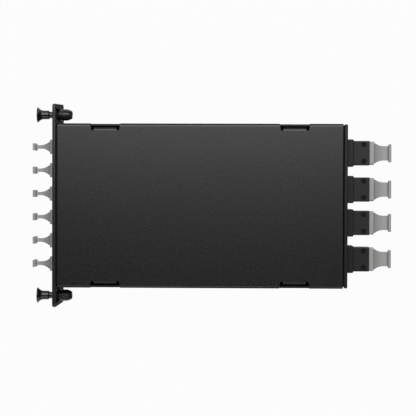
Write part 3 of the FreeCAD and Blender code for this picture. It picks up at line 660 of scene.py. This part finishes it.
@dataclass
class Studio:
    """A pale floor, soft light and a camera that looks down, hardly tilted."""

    camera_place: Point = (0.01225, 0.0096, 0.73053)
    camera_turn: Point = (-0.01612, 0.02018, 0.00321)
    lens: float = 113.13
    sensor_width: float = 36.0
    clip_end: float = 20.0
    floor_radius: float = 6.0
    floor_sides: int = 96
    floor_level: float = -0.0005
    wall_height: float = 1.6
    floor_grey: float = 0.12
    shadow_share: float = 0.03
    room_colour: Colour = (0.105, 0.105, 0.105)
    softboxes: tuple[Softbox, ...] = (
        Softbox("key", (0.0, 0.395, 0.614), (0.75, 0.6), 6.6),
        Softbox("fill", (0.0, -0.52, 0.44), (0.25, 0.6), 1.4),
    )

    def build_camera(self) -> None:
        """Adds the camera and makes it the scene's own."""
        bpy.ops.object.camera_add(location=self.camera_place, rotation=self.camera_turn)
        camera = bpy.context.object
        camera.data.lens = self.lens
        camera.data.sensor_width = self.sensor_width
        camera.data.clip_end = self.clip_end
        bpy.context.scene.camera = camera

    def clear_rays(self, tree: bpy.types.NodeTree) -> bpy.types.NodeSocket:
        """Tells the rays that see the background from those that only light the object.

        Args:
            tree: The floor's or the world's nodes.

        Returns:
            1 for a camera, glossy or transmission ray, and 0 for any other.
        """
        path = tree.nodes.new("ShaderNodeLightPath")
        found = path.outputs["Is Camera Ray"]
        for kind in ("Is Glossy Ray", "Is Transmission Ray"):
            either = tree.nodes.new("ShaderNodeMath")
            either.operation = "MAXIMUM"
            tree.links.new(found, either.inputs[0])
            tree.links.new(path.outputs[kind], either.inputs[1])
            found = either.outputs["Value"]
        return found

    def build_floor(self) -> None:
        """Adds the floor with a low round wall: white to the eye, with a faint share of shadow."""
        bpy.ops.mesh.primitive_circle_add(
            vertices=self.floor_sides,
            radius=self.floor_radius,
            fill_type="NGON",
            location=(0.0, 0.0, self.floor_level),
        )
        floor = bpy.context.object
        floor.name = "floor"
        bpy.ops.object.mode_set(mode="EDIT")
        bpy.ops.mesh.select_mode(type="EDGE")
        bpy.ops.mesh.select_all(action="SELECT")
        bpy.ops.mesh.extrude_edges_move(TRANSFORM_OT_translate={"value": (0.0, 0.0, self.wall_height)})
        bpy.ops.object.mode_set(mode="OBJECT")
        material = bpy.data.materials.new("floor_white")
        material.use_nodes = True
        tree = material.node_tree
        tree.nodes.remove(tree.nodes["Principled BSDF"])
        matt = tree.nodes.new("ShaderNodeBsdfDiffuse")
        matt.inputs["Color"].default_value = (self.floor_grey, self.floor_grey, self.floor_grey, 1.0)
        white = tree.nodes.new("ShaderNodeEmission")
        white.inputs["Color"].default_value = (1.0, 1.0, 1.0, 1.0)
        share = tree.nodes.new("ShaderNodeMath")
        share.operation = "MULTIPLY"
        share.inputs[1].default_value = 1.0 - self.shadow_share
        tree.links.new(self.clear_rays(tree), share.inputs[0])
        mix = tree.nodes.new("ShaderNodeMixShader")
        tree.links.new(share.outputs["Value"], mix.inputs["Fac"])
        tree.links.new(matt.outputs["BSDF"], mix.inputs[1])
        tree.links.new(white.outputs["Emission"], mix.inputs[2])
        tree.links.new(mix.outputs["Shader"], tree.nodes["Material Output"].inputs["Surface"])
        dress(floor, material)
        floor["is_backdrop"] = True

    def build_light(self) -> None:
        """Adds the softboxes and the dim room above the floor and its wall."""
        for softbox in self.softboxes:
            softbox.hang()
        world = bpy.data.worlds.new("studio")
        bpy.context.scene.world = world
        world.use_nodes = True
        world.node_tree.nodes["Background"].inputs["Color"].default_value = (*self.room_colour, 1.0)
        bpy.context.scene.view_settings.view_transform = "Standard"

    def build(self) -> None:
        """Adds the floor, the light and the camera."""
        nothing_selected()
        self.build_floor()
        self.build_light()
        self.build_camera()
        nothing_selected()
        LOG.info("studio: floor, softboxes and camera")


GROMMET_FINISH = MouldedPlastic("grommet_plastic", (0.014, 0.014, 0.0143), 0.36, gloss=0.4)
# Painted shade: near-black, rough plastic that stands for the shade in the grommets' slots and chambers
PAINTED_SHADE_FINISH = MouldedPlastic("dull_plastic", (0.001, 0.001, 0.001), 0.8, gloss=0.05)
ADAPTER_FINISH = MouldedPlastic("adapter_plastic", (0.009, 0.009, 0.0094), 0.42, gloss=0.25)
# Painted shade: darker, rougher plastic on the dimple floors, which stands for the shade in them
DIMPLE_SHADE_FINISH = MouldedPlastic("recess_plastic", (0.005, 0.005, 0.0052), 0.7, gloss=0.15)
PLUG_FINISH = MouldedPlastic("plug_plastic", (0.04, 0.04, 0.042), 0.4)
CAP_FINISH = MouldedPlastic(
    "cap_plastic",
    (0.275, 0.275, 0.2715),
    0.42,
    grain=0.0006,
    grain_height=0.000008,
    mottling=0.03,
    gloss=0.35,
)


def main() -> list[list[float]]:
    """Builds and dresses the whole cassette.

    Returns:
        The corners of the CAD frame's box, lowest and highest.
    """
    logging.basicConfig(level=logging.INFO, format="%(message)s")
    for start in list(bpy.data.objects):
        bpy.data.objects.remove(start)
    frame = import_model()
    cad_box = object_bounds()
    nodes = frame["nodes"]
    nothing_selected()
    Enclosure().dress(nodes)
    FrontPanel().dress(nodes)
    gloss = PolishedPlastic().material()
    satin = GROMMET_FINISH.material()
    # The painted shade for the latches' slots and chambers
    painted_shade = PAINTED_SHADE_FINISH.material()
    for side in Side:
        Latch(side, gloss, satin, painted_shade).dress(nodes)
    adapter = ADAPTER_FINISH.material()
    # The painted shade for the dimple floors
    dimple_shade = DIMPLE_SHADE_FINISH.material()
    plug = PLUG_FINISH.material()
    cap = CAP_FINISH.material()
    for row in PortRow:
        ports = Ports(row, adapter, dimple_shade, plug, cap)
        ports.dress(nodes)
        ports.build_adapters(nodes)
        ports.build_caps(nodes)
    FibreRun().dress(nodes)
    Studio().build()
    return cad_box


if __name__ == "__main__":
    box_at_load = main()
